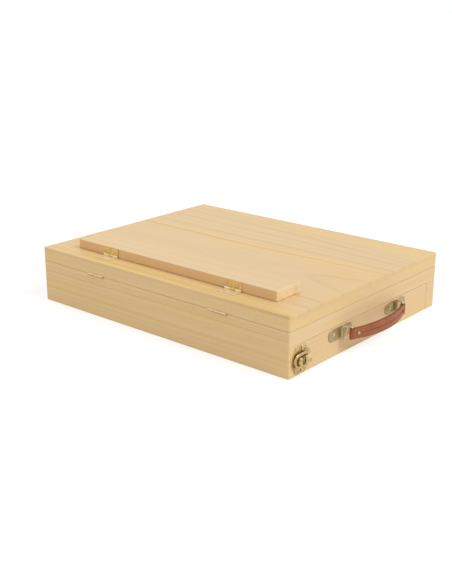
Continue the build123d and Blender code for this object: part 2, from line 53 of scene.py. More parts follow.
view_direction = Vector((
    math.sin(view_azimuth) * math.cos(view_elevation),
    -math.cos(view_azimuth) * math.cos(view_elevation),
    math.sin(view_elevation),
))
camera = bpy.data.objects.new("camera", bpy.data.cameras.new("camera"))
camera.data.lens = focal_length
camera.location = view_centre + view_distance * view_direction
camera.rotation_euler = view_direction.to_track_quat("Z", "Y").to_euler()
bpy.context.scene.collection.objects.link(camera)
bpy.context.scene.camera = camera
bpy.context.scene.view_settings.view_transform = "Standard"


# Studio: a matt pale floor under an even white sky, and one wide soft lamp high on the
# right. The floor goes to white where it is open, and keeps a faint shadow near the box.
def node(tree, kind, inputs=None, **options):
    """One shader node. inputs maps a socket's name or number to a value or to another socket."""
    made = tree.nodes.new("ShaderNode" + kind)
    for option, value in options.items():
        setattr(made, option, value)
    for socket, value in (inputs or {}).items():
        if isinstance(value, bpy.types.NodeSocket):
            tree.links.new(value, made.inputs[socket])
        else:
            made.inputs[socket].default_value = value
    return made


def maths(tree, operation, *terms, clamp=False):
    """A number worked out from one, two or three others."""
    made = node(tree, "Math", dict(enumerate(terms)), operation=operation, use_clamp=clamp)
    return made.outputs[0]


def seen_by_eye(tree):
    """1 for rays that come from the camera, straight, off gloss or through glass; 0 for the rest."""
    path = node(tree, "LightPath").outputs
    straight_or_gloss = maths(tree, "MAXIMUM", path["Is Camera Ray"], path["Is Glossy Ray"])
    return maths(tree, "MAXIMUM", straight_or_gloss, path["Is Transmission Ray"])


sky_light = 0.74
lamp_light = 0.34
lamp_direction = Vector((0.66, 0.12, 0.74))
lamp_softness = math.radians(24)
floor_half = 6.0
floor_pale = 0.80
floor_shown = 0.45
floor_white = 0.65

world = bpy.data.worlds.new("studio")
world.use_nodes = True
bpy.context.scene.world = world
tree = world.node_tree
tree.nodes.clear()
light = node(tree, "Background", {"Color": (1, 1, 1, 1), "Strength": sky_light})
white = node(tree, "Background", {"Color": (1, 1, 1, 1), "Strength": 1.0})
sky = node(tree, "MixShader", {0: seen_by_eye(tree), 1: light.outputs[0], 2: white.outputs[0]})
node(tree, "OutputWorld", {"Surface": sky.outputs[0]})

lamp = bpy.data.objects.new("lamp", bpy.data.lights.new("lamp", "SUN"))
lamp.data.energy = lamp_light * math.pi
lamp.data.angle = lamp_softness
lamp.rotation_euler = lamp_direction.to_track_quat("Z", "Y").to_euler()
bpy.context.scene.collection.objects.link(lamp)

floor_mesh = bpy.data.meshes.new("floor")
floor_corners = [(x * floor_half, y * floor_half, 0.0) for x, y in ((-1, -1), (1, -1), (1, 1), (-1, 1))]
floor_mesh.from_pydata(floor_corners, [], [(0, 1, 2, 3)])
floor = bpy.data.objects.new("floor", floor_mesh)
bpy.context.scene.collection.objects.link(floor)
paint = bpy.data.materials.new("floor_paint")
paint.use_nodes = True
tree = paint.node_tree
tree.nodes.clear()
matt = node(tree, "BsdfDiffuse", {"Color": (floor_pale, floor_pale, floor_pale, 1)})
shown = node(tree, "BsdfDiffuse", {"Color": (floor_shown, floor_shown, floor_shown, 1)})
glow = node(tree, "Emission", {"Color": (1, 1, 1, 1), "Strength": floor_white})
bright = node(tree, "AddShader", {0: shown.outputs[0], 1: glow.outputs[0]})
seen = node(tree, "MixShader", {0: seen_by_eye(tree), 1: matt.outputs[0], 2: bright.outputs[0]})
node(tree, "OutputMaterial", {"Surface": seen.outputs[0]})
floor_mesh.materials.append(paint)

# Front walls: two pine boards, one over the other, sawn so that their faces show fine
# straight lines along the box. They are glued at mitres and have a thin satin varnish.
MM = 0.001
varnish_roughness = 0.38
pine_relief = 0.06 * MM
# The front boards' pale is warmer than the other boards': painted warm bounce light in the front's shade.
front_pale_painted_bounce = (0.835, 0.59, 0.292)


def blank_material(name):
    """A new material, with its node tree and its main shader."""
    material = bpy.data.materials.new(name)
    material.use_nodes = True
    return material, material.node_tree, material.node_tree.nodes["Principled BSDF"]


def vectors(tree, operation, *terms):
    """A vector worked out from others, or the number that is its length or its dot product."""
    made = node(tree, "VectorMath", dict(enumerate(terms)), operation=operation)
    return made.outputs["Value" if operation in ("LENGTH", "DOT_PRODUCT") else "Vector"]


def mixed(tree, share, first, second):
    """Two colours mixed by a share: all of the first at 0, and all of the second at 1."""
    return node(tree, "Mix", {0: share, 6: first, 7: second}, data_type="RGBA").outputs[2]


def noise(tree, place, stretch, detail=2.0, roughness=0.5):
    """Smooth random numbers in space, with this many patches to the metre along each axis."""
    scaled = vectors(tree, "MULTIPLY", place, stretch)
    return node(tree, "TexNoise", {"Vector": scaled, "Scale": 1.0, "Detail": detail, "Roughness": roughness})


def stirred(tree, base, stir, amount, clamp=False):
    """A number moved up and down by a noise: base plus amount times how far stir is above its middle."""
    return maths(tree, "MULTIPLY_ADD", maths(tree, "SUBTRACT", stir, 0.5), amount, base, clamp=clamp)


def between(tree, value, start, end, low=0.0, high=1.0):
    """Low while the value is under start, high past end, and an even climb from one to the other."""
    return node(tree, "MapRange", {0: value, 1: start, 2: end, 3: low, 4: high}).outputs[0]


def bumps(tree, shader, height, strength, depth):
    """Small relief on a finish, where a height of 1 stands depth metres out."""
    relief = node(tree, "Bump", {"Height": height, "Strength": strength, "Distance": depth})
    tree.links.new(relief.outputs[0], shader.inputs["Normal"])


def dark_rings(tree, distance, marks):
    """Named dark rings round the pith. Each mark is (distance, strength, width) in mm: its shade climbs
    over one width before that distance, and is gone two fifths of a width behind it."""
    reach = max(middle + width for middle, _, width in marks)
    ramp = node(tree, "ValToRGB", {0: maths(tree, "DIVIDE", distance, reach * MM)})
    stops = ramp.color_ramp.elements
    stops[0].position, stops[0].color = 0.0, (0, 0, 0, 1)
    stops[1].position, stops[1].color = 1.0, (0, 0, 0, 1)
    for middle, strength, width in marks:
        start, end = middle - width, middle + 0.4 * width
        for at, shade in ((start, 0.0), (middle, strength), (end, 0.0)):
            stops.new(at / reach).color = (shade, shade, shade, 1)
    return ramp.outputs["Color"]


def pine_rings(tree, place, lay, ring, waver, seed):
    """Rings as tubes round the pith, which lies along X at lay's origin. Gives the distance from the pith,
    bent by a slow and a quick noise, both times waver (mm); a slow noise that runs over several rings; and
    the rings' shade. It climbs through each ring, which is about ring (mm) wide, and then drops at once,
    and each ring has its own strength."""
    slow_bend, quick_bend = 4.5 * waver * MM, 0.7 * waver * MM
    noise_middle, across_pith = (0.5, 0.5, 0.5), (0.0, 1.0, 1.0)
    drift = noise(tree, place, (3.5, 14.0, 14.0)).outputs["Color"]
    drift = vectors(tree, "SUBTRACT", drift, noise_middle)
    ripple = noise(tree, place, (18.0, 60.0, 60.0), detail=1.0).outputs["Color"]
    ripple = vectors(tree, "SUBTRACT", ripple, noise_middle)
    bent = vectors(tree, "MULTIPLY_ADD", drift, (0.0, slow_bend, slow_bend), lay)
    bent = vectors(tree, "MULTIPLY_ADD", ripple, (0.0, quick_bend, quick_bend), bent)
    distance = vectors(tree, "LENGTH", vectors(tree, "MULTIPLY", bent, across_pith))

    slow = node(tree, "TexNoise", {"W": maths(tree, "ADD", distance, seed), "Scale": 70.0, "Detail": 1.0},
                noise_dimensions="1D").outputs["Fac"]
    count = maths(tree, "MULTIPLY_ADD", slow, 0.9, maths(tree, "DIVIDE", distance, ring * MM))
    count = maths(tree, "ADD", count, seed * 37.0)
    year, within = maths(tree, "FLOOR", count), maths(tree, "FRACT", count)
    luck = node(tree, "TexWhiteNoise", {"W": year}, noise_dimensions="1D").outputs["Value"]
    strength = maths(tree, "MULTIPLY_ADD", maths(tree, "POWER", luck, 1.6), 0.85, 0.15)
    climb = node(tree, "ValToRGB", {0: within})
    climb.color_ramp.interpolation = "EASE"
    stops = climb.color_ramp.elements
    stops[0].position, stops[0].color = 0.08, (0, 0, 0, 1)
    stops[1].position, stops[1].color = 0.84, (1, 1, 1, 1)
    stops.new(0.97).color = (0, 0, 0, 1)
    return distance, slow, maths(tree, "MULTIPLY", climb.outputs["Color"], strength)


def pine_ground(tree, coordinates, place, streak, pale, gild, patches):
    """The wood's colour between its rings: pale, under golden and rosy clouds of noise; gild is the golden
    ones' share. Each of patches is one more, as (centre, radii, strength, colour) in mm. It fades from its
    centre to its edge, and the streaks fray it."""
    clouds = noise(tree, place, (4.0, 16.0, 16.0)).outputs["Color"]
    clouds = node(tree, "SeparateXYZ", {0: clouds}).outputs
    golden = (pale[0] * 1.01, pale[1] * 0.965, pale[2] * 0.70, 1)
    rosy = (pale[0] * 1.01, pale[1] * 0.980, pale[2] * 1.06, 1)
    ground = mixed(tree, between(tree, clouds[0], 0.44, 0.68, 0.0, gild), (*pale, 1), golden)
    ground = mixed(tree, between(tree, clouds[1], 0.50, 0.72, 0.0, 0.7), ground, rosy)
    for centre, radii, share, colour in patches:
        away = vectors(tree, "SUBTRACT", coordinates, tuple(c * MM for c in centre))
        away = vectors(tree, "LENGTH", vectors(tree, "DIVIDE", away, tuple(r * MM for r in radii)))
        away = stirred(tree, away, streak, 0.5)
        ground = mixed(tree, between(tree, away, 0.25, 1.0, share, 0.0), ground, (*colour, 1))
    return ground


def pine(name, pith, turn=0.0, rise=0.0, ring=2.8, rings=0.36, waver=2.0, marks=(), seed=0.0, gild=0.8,
         pale=(0.805, 0.58, 0.298), late=(0.60, 0.375, 0.11), shape=None, patches=()):
    """Pine as a solid. Its pith is a line through the point pith (mm) that runs along X, turned about Z by
    turn and lifted by rise degrees; shape may bend it further. rings is how dark the rings are. On them lie
    marks, which are named rings, and a slow shade, streaks, fibres and short dashes, all in the colour late
    on a ground of the colour pale. seed sets one board's noise apart from another's."""
    material, tree, shader = blank_material(name)
    coordinates = node(tree, "TexCoord").outputs["Object"]
    lay = node(tree, "Mapping", {
        "Vector": coordinates,
        "Location": tuple(p * MM for p in pith),
        "Rotation": (0.0, math.radians(-rise), math.radians(turn)),
    }, vector_type="TEXTURE").outputs[0]
    place = vectors(tree, "ADD", lay, (seed * 1.7, 0.0, 0.0))
    if shape:
        lay = shape(tree, lay)
    distance, slow, ring_shade = pine_rings(tree, place, lay, ring, waver, seed)
    streak = noise(tree, place, (5.0, 170.0, 170.0), detail=3.0, roughness=0.6).outputs["Fac"]
    fibre = noise(tree, place, (22.0, 1500.0, 1500.0)).outputs["Fac"]
    dash = noise(tree, place, (80.0, 1700.0, 1700.0), detail=0.0).outputs["Fac"]
    dash = between(tree, dash, 0.76, 0.84, 0.0, 0.25)
    dash_colour = (late[0] * 0.70, late[1] * 0.62, late[2] * 0.60, 1)

    shade = maths(tree, "MULTIPLY", ring_shade, rings)
    if marks:
        shade = maths(tree, "ADD", shade, dark_rings(tree, distance, marks))
    shade = stirred(tree, shade, slow, 0.5 * rings)
    shade = stirred(tree, shade, streak, 0.45)
    shade = stirred(tree, shade, fibre, 0.22, clamp=True)
    ground = pine_ground(tree, coordinates, place, streak, pale, gild, patches)
    colour = mixed(tree, shade, ground, (*late, 1))
    tree.links.new(mixed(tree, dash, colour, dash_colour), shader.inputs["Base Color"])

    sheen = maths(tree, "MULTIPLY_ADD", fibre, 0.16, varnish_roughness)
    tree.links.new(maths(tree, "MULTIPLY_ADD", shade, -0.08, sheen), shader.inputs["Roughness"])
    height = maths(tree, "MULTIPLY_ADD", ring_shade, 0.35, fibre)
    bumps(tree, shader, maths(tree, "SUBTRACT", height, dash), 0.35, pine_relief)
    shader.inputs["Specular IOR Level"].default_value = 0.42
    return material


def front_board(name, pith, rise, seed, gild=0.4, marks=()):
    """Pine of the boards along the front: fine rings that hardly waver, seen as straight lines, on a warmer
    pale that is painted bounce light.
    """
    return pine(name, pith=pith, rise=rise, ring=2.4, waver=0.8, seed=seed, gild=gild, pale=front_pale_painted_bounce,
                marks=marks)


def dress(name, material):
    """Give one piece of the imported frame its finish."""
    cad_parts[name].material_slots[0].material = material


dress("front_wall_upper", front_board("front_upper_pine", pith=(0, -118, -96), rise=0.35, seed=1.0,
                                      marks=[(132.6, 0.25, 1.6), (137.2, 0.18, 1.6)]))
dress("front_wall_lower", front_board("front_lower_pine", pith=(0, -110, -90), rise=0.15, seed=1.6,
                                      marks=[(108.8, 0.28, 1.8), (98.0, 0.15, 1.6)]))

# Back, left and right walls of the base: pine boards like the front ones, mitred and
# glued. The right one is only a rail, because the drawer fills the face under it.
right_pale = (0.805, 0.58, 0.31)


def right_board(name, pith, rise, seed):
    """Pine of the boards across the right-hand face: faint rings that hardly waver."""
    return pine(name, pith=pith, turn=90, rise=rise, rings=0.3, waver=1.0, seed=seed, pale=right_pale)


dress("back_wall_upper", pine("back_upper_pine", pith=(0, 140, -70), waver=1.4, seed=2.0))
dress("back_wall_lower", pine("back_lower_pine", pith=(0, 110, -85), waver=1.4, seed=2.5))
dress("left_wall_upper", pine("left_upper_pine", pith=(-190, 0, -85), turn=90, waver=1.2, seed=3.0))
dress("left_wall_lower", pine("left_lower_pine", pith=(-150, 0, -75), turn=90, waver=1.2, seed=3.5))
dress("right_rail", right_board("right_rail_pine", pith=(150, 0, -60), rise=-0.5, seed=4.0))


# Bottom panel and tray floor: thin sheets of pine-faced board with a broad wandering
# figure, glued to the insides of the walls.
def faced_sheet(name, pith, rise, seed, ring=6.5):
    """Pine cut nearly along its rings, so that they lie wide and wander over the sheet."""
    return pine(name, pith=pith, rise=rise, ring=ring, rings=0.34, waver=5.0, seed=seed,
                pale=(0.79, 0.60, 0.36))


dress("bottom_panel", faced_sheet("bottom_panel_ply", pith=(0, 30, -38), rise=4.0, seed=5.0))
dress("tray_floor", faced_sheet("tray_floor_ply", pith=(0, -25, -5), rise=-4.5, seed=6.0, ring=6.0))

# Drawer guides and prop racks: plain pine strips glued inside the box. The front guide's
# end shows on the right-hand face, beside the drawer.
dress("drawer_guide_front", pine("guide_front_pine", pith=(0, -60, -30), ring=2.6, rings=0.4, seed=7.0,
                                 pale=(0.75, 0.535, 0.27)))
dress("drawer_guide_back", pine("guide_back_pine", pith=(0, 60, -35), ring=2.6, rings=0.4, seed=8.0))
dress("rack_left", pine("rack_left_pine", pith=(-90, 0, 5), turn=90, ring=2.4, seed=9.0))
dress("rack_right", pine("rack_right_pine", pith=(90, 0, 0), turn=90, ring=2.4, seed=10.0))

# Lid frame: four mitred pine rails, cut from the same boards as the walls below them.
# The lid's panel is glued on top of them.
dress("lid_front_rail", front_board("lid_front_pine", pith=(0, -122, -60), rise=0.25, seed=11.0, gild=0.8))
dress("lid_back_rail", pine("lid_back_pine", pith=(0, 135, -50), waver=1.4, seed=12.0))
dress("lid_left_rail", pine("lid_left_pine", pith=(-185, 0, -60), turn=90, waver=1.2, seed=13.0))
dress("lid_right_rail", right_board("lid_right_pine", pith=(160, 0, -40), rise=0.4, seed=14.0))

# Lid panel: one wide flat-sawn sheet glued over the lid's frame. Its pith lies under the
# front half and nears the surface to the right, where the rings run out in a point.
panel_run = 334 * MM
pith_climb = 25 * MM
first_sway, late_sway = 0.035, 0.145
late_sway_start = 194 * MM
sway_start, sway_full = 33 * MM, 108 * MM
panel_pale, panel_gold_and_ledge_shade, panel_rose = (0.785, 0.56, 0.29), (0.85, 0.575, 0.225), (0.785, 0.555, 0.303)
panel_marks = [(26.5, 0.20, 6.0), (56.6, 0.06, 4.0), (60.5, 0.60, 9.0), (81.0, 0.30, 8.0), (94.0, 0.16, 7.0),
               (107.0, 0.36, 9.0), (117.0, 0.14, 6.0), (126.0, 0.34, 9.0), (140.0, 0.22, 8.0)]
# The first patch, a golden strip along the lid's front edge before the ledge, is painted shadow and warm
# bounce light from the ledge; the rest are the wood's own figure.
panel_patches = [((0, -126, 61.5), (500, 24, 4), 1.0, panel_gold_and_ledge_shade),
                 ((150, 122, 60), (80, 40, 40), 0.6, panel_gold_and_ledge_shade),
                 ((10, 112, 60), (60, 22, 40), 0.45, panel_gold_and_ledge_shade),
                 ((0, 24, 60), (260, 9, 40), 0.6, panel_gold_and_ledge_shade),
                 ((-15, 15, 60), (50, 12, 40), 0.5, panel_gold_and_ledge_shade),
                 ((110, 30, 60), (90, 9, 40), 0.6, panel_gold_and_ledge_shade),
                 ((0, -22, 60), (280, 40, 40), 0.8, panel_rose)]


def panel_lay(tree, lay):
    """The pith climbs by the fourth power of the way to the right. The rings behind it sway forward by
    the way to the right, faster near the end, times a share that grows with the distance back."""
    along, across, up = node(tree, "SeparateXYZ", {0: lay}).outputs
    climb = maths(tree, "POWER", maths(tree, "DIVIDE", along, panel_run), 4.0)
    climb = maths(tree, "MULTIPLY", climb, pith_climb)
    late_way = maths(tree, "MAXIMUM", maths(tree, "SUBTRACT", along, late_sway_start), 0.0)
    sway = maths(tree, "MULTIPLY_ADD", late_way, late_sway, maths(tree, "MULTIPLY", along, first_sway))
    sway = maths(tree, "MULTIPLY", sway, between(tree, across, sway_start, sway_full))
    return node(tree, "CombineXYZ", {
        0: along, 1: maths(tree, "ADD", across, sway), 2: maths(tree, "SUBTRACT", up, climb),
    }).outputs[0]


dress("lid_panel", pine("lid_panel_pine", pith=(-167, -23, 21), ring=6.2, rings=0.12, waver=2.6, gild=1.0,
                        shape=panel_lay, marks=panel_marks, seed=15.0, pale=panel_pale,
                        patches=panel_patches))

# Ledge: a plain pine lath with eased edges, its grain along its length. It lies on its
# hinges' leaves, folded flat on the lid. Its front face is painted redder and darker, as
# painted shade with warm light bounced off the lid.
ledge_pale, ledge_front_shade, ledge_end = (0.80, 0.578, 0.315), (0.785, 0.505, 0.242), (0.89, 0.70, 0.43)
ledge_marks = [(94.6, 0.20, 2.0), (104.5, 0.20, 2.0)]
# The first patch is painted shade, with warm bounce light, on the ledge's front face.
ledge_patches = [((0, -107, 65), (900, 1.6, 90), 0.9, ledge_front_shade),
                 ((136.2, -88, 65), (3.2, 60, 60), 1.0, ledge_end)]
dress("ledge_board", pine("ledge_pine", pith=(0, -160, 0), ring=3.2, rings=0.26, waver=1.0, seed=16.0,
                          gild=0.5, pale=ledge_pale, marks=ledge_marks, patches=ledge_patches))

# Prop: two arms and a foot bar of square pine, glued together, which turn on hardwood
# pins in two lugs under the lid.
dress("prop_arm_left", pine("prop_left_pine", pith=(-95, 0, 20), turn=90, ring=2.6, seed=17.0))
dress("prop_arm_right", pine("prop_right_pine", pith=(95, 0, 15), turn=90, ring=2.6, seed=18.0))
dress("prop_foot_bar", pine("prop_bar_pine", pith=(0, 80, 10), ring=2.6, seed=19.0))
dress("prop_lugs", pine("prop_lug_pine", pith=(0, -10, 10), turn=90, ring=2.2, seed=20.0))
dress("prop_pins", pine("prop_pin_beech", pith=(0, -10, 40), ring=1.4, rings=0.2, seed=21.0,
                        pale=(0.66, 0.45, 0.27), late=(0.45, 0.25, 0.12)))

# Drawer: an inset pine front whose lines run on from the rail above it, and a body of
# thinner pine boards round a thin bottom, with dividers for brushes, tubes and palette.
dress("drawer_front", right_board("drawer_front_pine", pith=(150, 0, -70), rise=-0.3, seed=22.0))
dress("drawer_side_front", pine("drawer_side_front_pine", pith=(0, -100, -50), seed=23.0))
dress("drawer_side_back", pine("drawer_side_back_pine", pith=(0, 100, -55), seed=24.0))
dress("drawer_end", pine("drawer_end_pine", pith=(-150, 0, -45), turn=90, seed=25.0))
dress("drawer_bottom", faced_sheet("drawer_bottom_ply", pith=(0, 20, -40), rise=4.0, seed=26.0))
dress("drawer_long_divider", pine("long_divider_pine", pith=(0, -40, -60), ring=2.6, seed=27.0))
for side, divider_seed in (("left", 28.0), ("right", 29.0)):
    divider_pine = pine(f"cross_divider_{side}_pine", pith=(0, 0, -60), turn=90, ring=2.6, seed=divider_seed)
    dress(f"drawer_cross_divider_{side}", divider_pine)

# Seam hinges: two small butt hinges of thin pressed brass let into the joint between lid
# and base, each with a rolled barrel, and countersunk brass screws out of sight.
# Near-white brass mixed into faces that look up, as a painted highlight.
painted_highlight_brass = (0.97, 0.88, 0.66)
brass_relief = 0.02 * MM


def brass(name, bright, dull, roughness=0.30, tarnish=0.45, crevice=0.8, depth=0.8, relief=0.35, seed=0.0,
          highlight_strength=0.6, dark_along_y=None):
    """Pressed brass: a worn metal whose tarnish lies in soft clouds, and whose dull colour gathers in
    corners as patina and painted shade. The dull share is smooth noise, plus relief times how far the
    surface turns from looking up, which is painted shade, and at least depth times how enclosed it is within
    crevice mm. With dark_along_y, as (start, end), it grows from nothing to full between these places along
    Y, in mm. Faces that look up are mixed nearly to white as a painted highlight, by highlight_strength at
    most."""
    material, tree, shader = blank_material(name)
    where = node(tree, "TexCoord").outputs
    place = vectors(tree, "ADD", where["Object"], (seed, 0.0, 0.0))
    cloud = noise(tree, place, (260.0, 260.0, 260.0), detail=3.0).outputs["Fac"]
    speck = noise(tree, place, (2400.0, 2400.0, 2400.0)).outputs["Fac"]
    scratch = noise(tree, place, (900.0, 160.0, 5200.0), detail=1.0).outputs["Fac"]
    # Dull colour gathers where the surface is enclosed: patina, and painted shade of the crevices.
    open_share = node(tree, "AmbientOcclusion", {"Distance": crevice * MM}, samples=6).outputs["AO"]
    crevice_patina_and_shade = between(tree, open_share, 0.35, 0.95, depth, 0.0)
    upward = vectors(tree, "DOT_PRODUCT", where["Normal"], (0.0, 0.25, 0.95))

    tarnish_and_shade = stirred(tree, between(tree, cloud, 0.35, 0.70, 0.0, tarnish), speck, 0.25)
    # Painted shade: faces that turn from looking up take more of the dull colour, by relief.
    tarnish_and_shade = maths(tree, "MULTIPLY_ADD", maths(tree, "SUBTRACT", 0.5, upward), relief, tarnish_and_shade, clamp=True)
    tarnish_and_shade = maths(tree, "MAXIMUM", tarnish_and_shade, crevice_patina_and_shade)
    if dark_along_y:
        across = node(tree, "SeparateXYZ", {0: where["Object"]}).outputs[1]
        tarnish_and_shade = maths(tree, "MAXIMUM", tarnish_and_shade, between(tree, across, dark_along_y[0] * MM, dark_along_y[1] * MM))
    # Painted highlight: faces that look up are mixed towards near-white brass.
    painted_highlight = between(tree, upward, 0.25, 0.80, 0.0, highlight_strength)
    metal = mixed(tree, painted_highlight, (*bright, 1), (*painted_highlight_brass, 1))
    tree.links.new(mixed(tree, tarnish_and_shade, metal, (*dull, 1)), shader.inputs["Base Color"])
    rough = maths(tree, "MULTIPLY_ADD", tarnish_and_shade, 0.22, roughness)
    tree.links.new(maths(tree, "MULTIPLY_ADD", scratch, 0.10, rough), shader.inputs["Roughness"])
    bumps(tree, shader, maths(tree, "MULTIPLY_ADD", scratch, 0.5, speck), 0.25, brass_relief)
    shader.inputs["Metallic"].default_value = 0.92
    return material


seam_brass = brass("seam_hinge_brass", bright=(0.88, 0.72, 0.44), dull=(0.38, 0.27, 0.12), roughness=0.42,
                   tarnish=0.25, depth=0.3, relief=0.65, highlight_strength=0.8, seed=0.3)
for name in ("lid_hinge_base_leaves", "lid_hinge_lid_leaves", "lid_hinge_pins", "lid_hinge_base_screws",
             "lid_hinge_lid_screws"):
    dress(name, seam_brass)

# Ledge hinges: the same kind of small butt hinge, one leaf on the ledge's front edge and
# one flat on the lid, so both leaves and their flush screws show.
# The flat leaf and the pins get a paler brass than the upright leaf: a painted bright reflection.
leaf_upright = brass("ledge_leaf_brass", bright=(0.90, 0.645, 0.24), dull=(0.42, 0.26, 0.08), relief=0.3,
                     seed=0.9)
leaf_flat_painted_bright = brass("lid_leaf_painted_bright_brass", bright=(0.91, 0.78, 0.51), dull=(0.70, 0.54, 0.30), roughness=0.42,
                  tarnish=0.4, depth=0.4, highlight_strength=0.1, seed=1.1)
ledge_screw_brass = brass("ledge_screw_brass", bright=(0.80, 0.64, 0.34), dull=(0.40, 0.26, 0.10), seed=1.4)
dress("ledge_hinge_ledge_leaves", leaf_upright)
for name in ("ledge_hinge_lid_leaves", "ledge_hinge_pins"):
    dress(name, leaf_flat_painted_bright)
for name in ("ledge_hinge_ledge_screws", "ledge_hinge_lid_screws"):
    dress(name, ledge_screw_brass)

# Handle brass: two long plates, each pressed up in a bridge round a wire loop, and their
# round-head screws. The plates are dull old brass; the loops and screws are brighter.
screw_dull = (0.18, 0.11, 0.04)
loop_brass = brass("handle_loop_brass", bright=(0.70, 0.56, 0.32), dull=(0.34, 0.24, 0.11), seed=2.6)
dress("handle_plates", brass("handle_plate_brass", bright=(0.57, 0.44, 0.235), dull=(0.31, 0.22, 0.095),
                             roughness=0.40, crevice=0.7, relief=0.2, seed=2.0))
dress("handle_loop_front", loop_brass)
dress("handle_loop_back", loop_brass)
dress("handle_screws", brass("handle_screw_brass", bright=(0.92, 0.80, 0.54), dull=screw_dull,
                             roughness=0.22, seed=3.1))

# Toggle latch: a strike with a hook bent up from it, and a plate with a sprung lever that
# pulls a flat ring over the hook, all of pressed brass on pins of brass wire.
latch_dull = (0.22, 0.135, 0.03)
latch_brass = brass("latch_brass", bright=(0.77, 0.57, 0.255), dull=latch_dull, roughness=0.28,
                    crevice=1.8, depth=0.95, relief=0.4, highlight_strength=0.9, seed=4.0)
lever_brass = brass("latch_lever_brass", bright=(0.88, 0.69, 0.36), dull=latch_dull, roughness=0.22,
                    tarnish=0.4, crevice=1.6, depth=0.95, relief=0.45, highlight_strength=0.9, seed=4.7)
latch_screw_brass = brass("latch_screw_brass", bright=(0.84, 0.70, 0.40), dull=screw_dull, roughness=0.22,
                          relief=0.6, seed=5.3)
for name in ("latch_strike", "latch_plate"):
    dress(name, latch_brass)
for name in ("latch_lever", "latch_pin", "latch_ring_pin"):
    dress(name, lever_brass)
for name in ("latch_strike_screws", "latch_plate_screws"):
    dress(name, latch_screw_brass)
dress("latch_ring", brass("latch_ring_brass", bright=(0.78, 0.565, 0.27), dull=(0.20, 0.12, 0.025),
                          tarnish=0.5, crevice=1.2, depth=0.9, relief=0.4, seed=4.9))

# Handle rivets: two brass rivets with low round heads, which hold the strap's layers
# together. The back one is made a darker, duller brown.
dress("handle_rivets", brass("rivet_brass", bright=(0.74, 0.56, 0.36), dull=(0.20, 0.12, 0.05),
                             roughness=0.36, relief=0.4, dark_along_y=(-5, 5), seed=6.0))

# Handle strap: one belt of reddish-brown leather. It runs along the outside, round the
# back loop, home along the inside and round the front loop, and two rivets pinch it.
wire_radius = 0.8 * MM
eye_bore, eye_radius = 1.3 * MM, 2.8 * MM
layer, layer_gap = 1.42 * MM, 0.16 * MM
half_thick = 1.6 * MM
rivet_from_eye, pinch = 6.0 * MM, 4.4 * MM
tall_middle, tall_end = 12.3 * MM, 10.2 * MM
edge_round, edge_thin = 0.6 * MM, 0.45
crown_height = 0.05 * MM
crease_depth, crease_width = 0.42 * MM, 0.40 * MM
crease_start, crease_end, crease_end_fade = 2.0 * MM, 1.0 * MM, 2.5 * MM
lip_height, lip_away = 0.12, 2.4
dent_depth, dent_radius = 0.14 * MM, 2.2 * MM
wrinkle_height, wrinkle_length = 0.02 * MM, 1.5 * MM
wrinkle_reach, wrinkle_sway = 3.0 * MM, 1.4 * MM
run_fade = 0.6 * MM
path_smoothing, smoothing_steps = 0.4 * MM, 9
belt_rows, belt_columns, turn_points = 900, 98, 60
column_crowding = 0.12
leather_relief = 0.06 * MM

strap_low, strap_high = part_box("handle_strap")
strap_centre_y = (strap_low.y + strap_high.y) / 2
strap_centre_z = (strap_low.z + strap_high.z) / 2
eye_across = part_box("handle_loop_back")[1].x - wire_radius
eye_spread = (strap_high.y - strap_low.y) / 2 - eye_radius
bulge = strap_high.x - half_thick - eye_across
arc_radius = (eye_spread ** 2 + bulge ** 2) / (2 * bulge)
arc_centre_x = eye_across + bulge - arc_radius
half_run = arc_radius * math.asin(eye_spread / arc_radius)
rivet_at = arc_radius * math.asin((eye_spread - rivet_from_eye) / arc_radius)


def belt_path(count):
    """The belt's middle line as (along, out): two straight runs a layer apart, joined round each eye by a
    circle and its tangents, smoothed by a bell curve, in count even steps all the way round."""
    apart = (layer + layer_gap) / 2
    turn_radius = eye_bore + layer / 2
    near = half_run - pinch
    tangent = math.pi - math.atan2(apart, pinch) - math.acos(turn_radius / math.hypot(pinch, apart))
    angles = np.linspace(tangent, -tangent, turn_points)
    turn = np.stack([half_run + turn_radius * np.cos(angles), turn_radius * np.sin(angles)], axis=1)
    outer_run = [[-near, apart], [near, apart]]
    inner_run = [[near, -apart], [-near, -apart]]
    corners = np.concatenate([outer_run, turn, inner_run, -turn])
    corners = np.concatenate([corners, corners[:1]])
    passed = np.concatenate([[0.0], np.cumsum(np.linalg.norm(np.diff(corners, axis=0), axis=1))])
    spacing = passed[-1] / count
    even = np.arange(count) * spacing
    path = np.stack([np.interp(even, passed, corners[:, k]) for k in (0, 1)], axis=1)
    reach = np.arange(-smoothing_steps, smoothing_steps + 1)
    weights = np.exp(-0.5 * (reach * spacing / path_smoothing) ** 2)
    weights /= weights.sum()
    return sum(w * np.roll(path, k, axis=0) for w, k in zip(weights, reach))


def belt_relief(along, tall, rise, outer_run, outside):
    """How far the belt's outside stands out, and how deep in the crease each point is, from 0 to 1. The
    outside is crowned, and a groove between two low lips is pressed along its middle, from the front
    rivet almost to the back eye. A round dent lies under each rivet, and sine waves wrinkle it across
    where it turns round an eye."""
    creased = np.clip((along + rivet_at - crease_start) / crease_start, 0, 1) * outer_run
    creased = creased * np.clip((half_run - crease_end - along) / crease_end_fade, 0, 1)
    crease = np.exp(-(tall / crease_width) ** 2) * creased
    lip = np.exp(-(np.abs(tall) / crease_width - lip_away) ** 2) * creased
    dent = sum(np.exp(-((along - s * rivet_at) ** 2 + tall ** 2) / dent_radius ** 2) for s in (-1, 1))
    waves = np.abs(along) / wrinkle_length + 0.25 * np.sin(tall / wrinkle_sway)
    near_eye = np.exp(-((np.abs(along) - half_run) / wrinkle_reach) ** 2)
    wrinkle = np.sin(2 * np.pi * waves) * near_eye
    lift = crown_height * (1 - rise ** 2) + wrinkle_height * wrinkle - dent_depth * dent
    return lift * outside + crease_depth * (lip_height * lip - crease), crease


